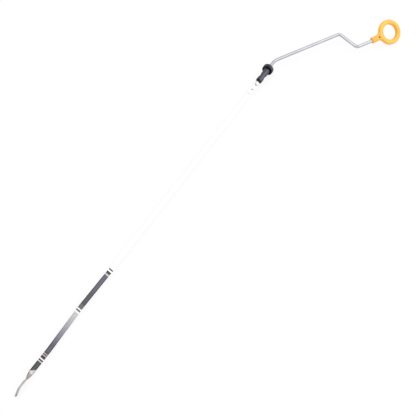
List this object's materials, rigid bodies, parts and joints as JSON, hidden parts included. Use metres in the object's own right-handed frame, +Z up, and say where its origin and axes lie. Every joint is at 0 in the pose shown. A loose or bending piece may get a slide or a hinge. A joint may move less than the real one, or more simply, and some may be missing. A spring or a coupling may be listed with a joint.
{
  "type": "engine oil dipstick",
  "caption": "Engine oil dipstick: bent steel wire with a plastic finger ring, a rubber tube stopper and a flat measuring blade with stamped level marks.",
  "frame": {"origin": "on the plug's axis, at the open rim of the stopper's cap", "axes": "+X along the plug's axis towards the blade's tip, +Z up from the floor it lies on"},
  "size_m": [0.7715, 0.1489, 0.0299],
  "materials": {
    "handle_plastic": "satin moulded",
    "wire_steel": "bright plated",
    "stopper_rubber": "moulded",
    "blade_steel": "polished",
    "rivet_steel": "plain"
  },
  "bodies": {
    "root": {"ring_handle": "handle_plastic", "rod": "wire_steel", "stopper": "stopper_rubber", "blade": "blade_steel", "blade_rivets": "rivet_steel"}
  },
  "joints": []
}
